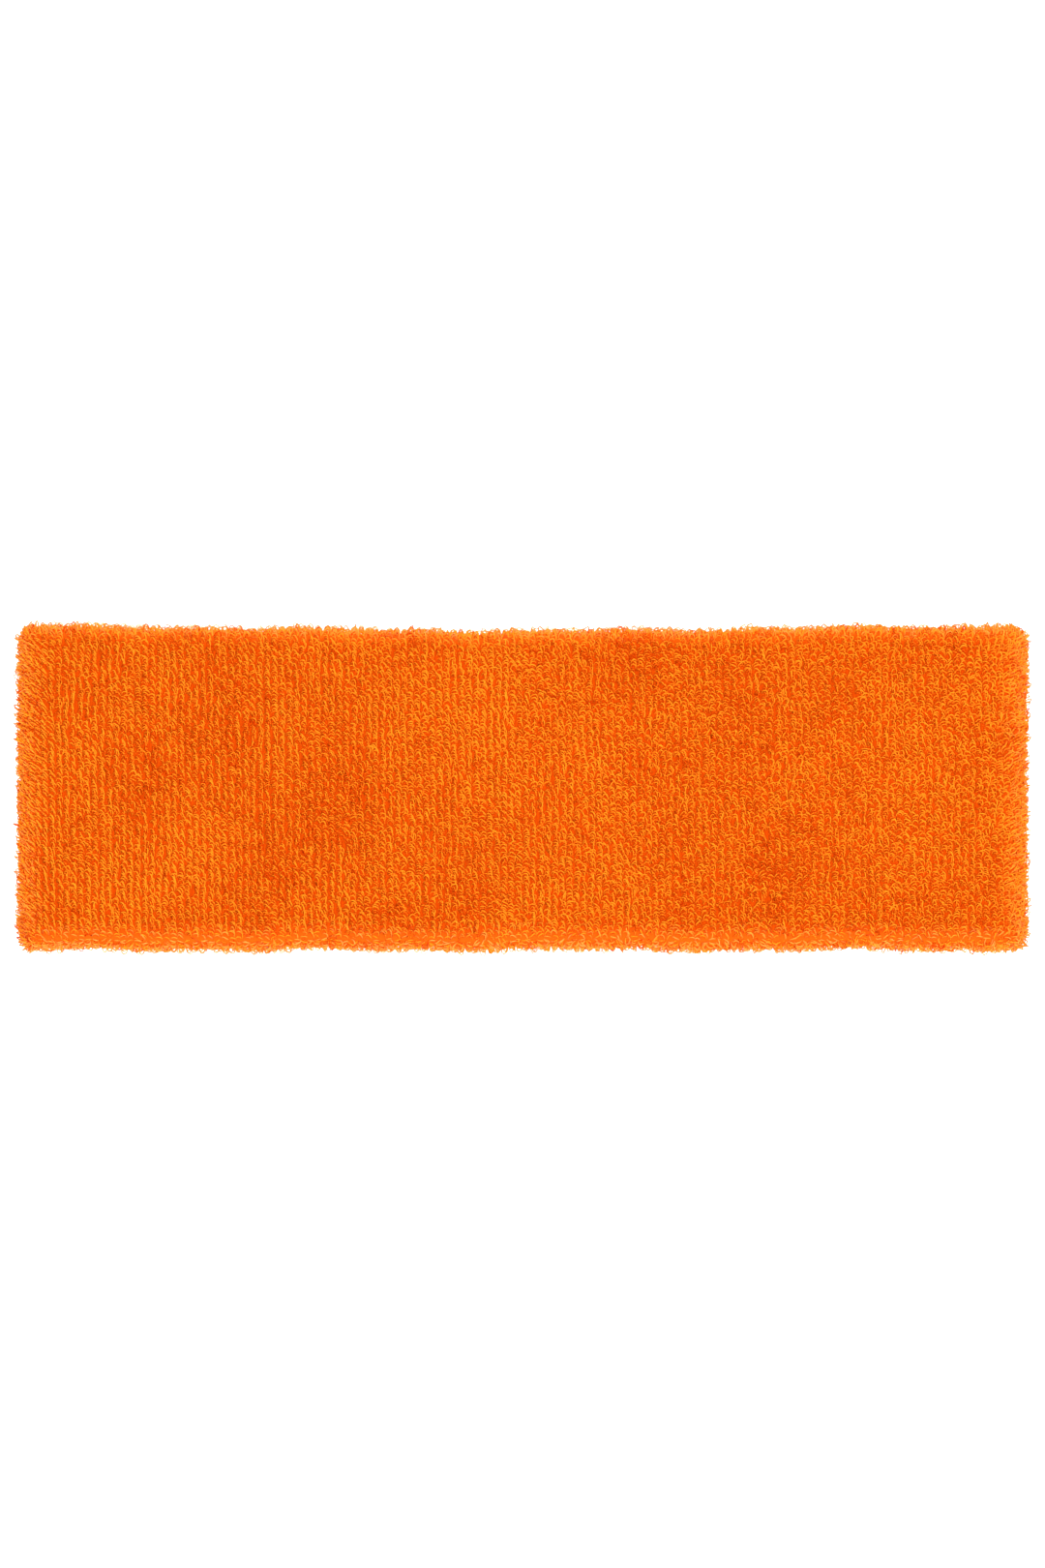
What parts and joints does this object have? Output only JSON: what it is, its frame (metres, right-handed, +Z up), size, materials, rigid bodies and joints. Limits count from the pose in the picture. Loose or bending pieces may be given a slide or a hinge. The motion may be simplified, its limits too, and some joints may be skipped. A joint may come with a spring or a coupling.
{
  "type": "sports headband",
  "caption": "Terry-knit sports headband lying flat: an endless elastic band of two loop-pile layers with folded edges, which opens from flat to a round ring.",
  "frame": {"origin": "under the middle of the flat band, on the surface it lies on", "axes": "+X along the flat band from one fold to the other, +Y up the band's height as it is worn, +Z up from the surface, out of the front wall"},
  "size_m": [0.18, 0.058, 0.0146],
  "materials": {
    "outer_terry": "bright orange cotton loop-pile terry, matt, with fine ribs up the band",
    "inner_terry": "the same orange loop-pile terry, worn against the skin",
    "elastic_yarn": "off-white covered elastic yarn",
    "seam_thread": "orange linking thread, slightly smoother than the pile"
  },
  "bodies": {
    "back_centre": {"outer_terry_back_centre": "outer_terry", "elastic_back_centre": "elastic_yarn", "inner_terry_back_centre": "inner_terry", "closing_seam_back_centre": "seam_thread"},
    "back_right_1": {"outer_terry_back_right_1": "outer_terry", "elastic_back_right_1": "elastic_yarn", "inner_terry_back_right_1": "inner_terry", "closing_seam_back_right_1": "seam_thread"},
    "back_right_2": {"outer_terry_back_right_2": "outer_terry", "elastic_back_right_2": "elastic_yarn", "inner_terry_back_right_2": "inner_terry", "closing_seam_back_right_2": "seam_thread"},
    "fold_right": {"outer_terry_fold_right": "outer_terry", "elastic_fold_right": "elastic_yarn", "inner_terry_fold_right": "inner_terry", "closing_seam_fold_right": "seam_thread"},
    "front_right_2": {"outer_terry_front_right_2": "outer_terry", "elastic_front_right_2": "elastic_yarn", "inner_terry_front_right_2": "inner_terry", "closing_seam_front_right_2": "seam_thread"},
    "front_right_1": {"outer_terry_front_right_1": "outer_terry", "elastic_front_right_1": "elastic_yarn", "inner_terry_front_right_1": "inner_terry", "closing_seam_front_right_1": "seam_thread"},
    "front_right_centre": {"outer_terry_front_right_centre": "outer_terry", "elastic_front_right_centre": "elastic_yarn", "inner_terry_front_right_centre": "inner_terry", "closing_seam_front_right_centre": "seam_thread"},
    "back_left_1": {"outer_terry_back_left_1": "outer_terry", "elastic_back_left_1": "elastic_yarn", "inner_terry_back_left_1": "inner_terry", "closing_seam_back_left_1": "seam_thread"},
    "back_left_2": {"outer_terry_back_left_2": "outer_terry", "elastic_back_left_2": "elastic_yarn", "inner_terry_back_left_2": "inner_terry", "closing_seam_back_left_2": "seam_thread"},
    "fold_left": {"outer_terry_fold_left": "outer_terry", "elastic_fold_left": "elastic_yarn", "inner_terry_fold_left": "inner_terry", "closing_seam_fold_left": "seam_thread"},
    "front_left_2": {"outer_terry_front_left_2": "outer_terry", "elastic_front_left_2": "elastic_yarn", "inner_terry_front_left_2": "inner_terry", "closing_seam_front_left_2": "seam_thread"},
    "front_left_1": {"outer_terry_front_left_1": "outer_terry", "elastic_front_left_1": "elastic_yarn", "inner_terry_front_left_1": "inner_terry", "closing_seam_front_left_1": "seam_thread"},
    "front_left_centre": {"outer_terry_front_left_centre": "outer_terry", "elastic_front_left_centre": "elastic_yarn", "inner_terry_front_left_centre": "inner_terry", "closing_seam_front_left_centre": "seam_thread"}
  },
  "joints": [
    {"name": "band_opening", "type": "hinge", "parent": "back_centre", "child": "back_right_1", "pos_m": [0.016, 0, 0.005], "axis": [0, -1, 0], "range_deg": [0, 30]},
    {"name": "right_back_far", "type": "hinge", "parent": "back_right_1", "child": "back_right_2", "pos_m": [0.04935, 0, 0.005], "axis": [0, -1, 0], "range_deg": [0, 30]},
    {"name": "right_fold_back", "type": "hinge", "parent": "back_right_2", "child": "fold_right", "pos_m": [0.0827, 0, 0.0073], "axis": [0, 1, 0], "range_deg": [0, 60], "deforming": ["outer_terry_fold_right", "elastic_fold_right", "inner_terry_fold_right", "closing_seam_fold_right"]},
    {"name": "right_fold_front", "type": "hinge", "parent": "fold_right", "child": "front_right_2", "pos_m": [0.0827, 0, 0.0073], "axis": [0, 1, 0], "range_deg": [0, 60]},
    {"name": "right_front_far", "type": "hinge", "parent": "front_right_2", "child": "front_right_1", "pos_m": [0.04935, 0, 0.0096], "axis": [0, -1, 0], "range_deg": [0, 30]},
    {"name": "right_front_near", "type": "hinge", "parent": "front_right_1", "child": "front_right_centre", "pos_m": [0.016, 0, 0.0096], "axis": [0, -1, 0], "range_deg": [0, 30]},
    {"name": "left_back_near", "type": "hinge", "parent": "back_centre", "child": "back_left_1", "pos_m": [-0.016, 0, 0.005], "axis": [0, 1, 0], "range_deg": [0, 30]},
    {"name": "left_back_far", "type": "hinge", "parent": "back_left_1", "child": "back_left_2", "pos_m": [-0.04935, 0, 0.005], "axis": [0, 1, 0], "range_deg": [0, 30]},
    {"name": "left_fold_back", "type": "hinge", "parent": "back_left_2", "child": "fold_left", "pos_m": [-0.0827, 0, 0.0073], "axis": [0, -1, 0], "range_deg": [0, 60], "deforming": ["outer_terry_fold_left", "elastic_fold_left", "inner_terry_fold_left", "closing_seam_fold_left"]},
    {"name": "left_fold_front", "type": "hinge", "parent": "fold_left", "child": "front_left_2", "pos_m": [-0.0827, 0, 0.0073], "axis": [0, -1, 0], "range_deg": [0, 60]},
    {"name": "left_front_far", "type": "hinge", "parent": "front_left_2", "child": "front_left_1", "pos_m": [-0.04935, 0, 0.0096], "axis": [0, 1, 0], "range_deg": [0, 30]},
    {"name": "left_front_near", "type": "hinge", "parent": "front_left_1", "child": "front_left_centre", "pos_m": [-0.016, 0, 0.0096], "axis": [0, 1, 0], "range_deg": [0, 30]}
  ],
  "couplings": [
    {"joint": "right_back_far", "follows": "band_opening", "ratio": 1},
    {"joint": "right_fold_back", "follows": "band_opening", "ratio": 2},
    {"joint": "right_fold_front", "follows": "band_opening", "ratio": 2},
    {"joint": "right_front_far", "follows": "band_opening", "ratio": 1},
    {"joint": "right_front_near", "follows": "band_opening", "ratio": 1},
    {"joint": "left_back_near", "follows": "band_opening", "ratio": 1},
    {"joint": "left_back_far", "follows": "band_opening", "ratio": 1},
    {"joint": "left_fold_back", "follows": "band_opening", "ratio": 2},
    {"joint": "left_fold_front", "follows": "band_opening", "ratio": 2},
    {"joint": "left_front_far", "follows": "band_opening", "ratio": 1},
    {"joint": "left_front_near", "follows": "band_opening", "ratio": 1}
  ]
}
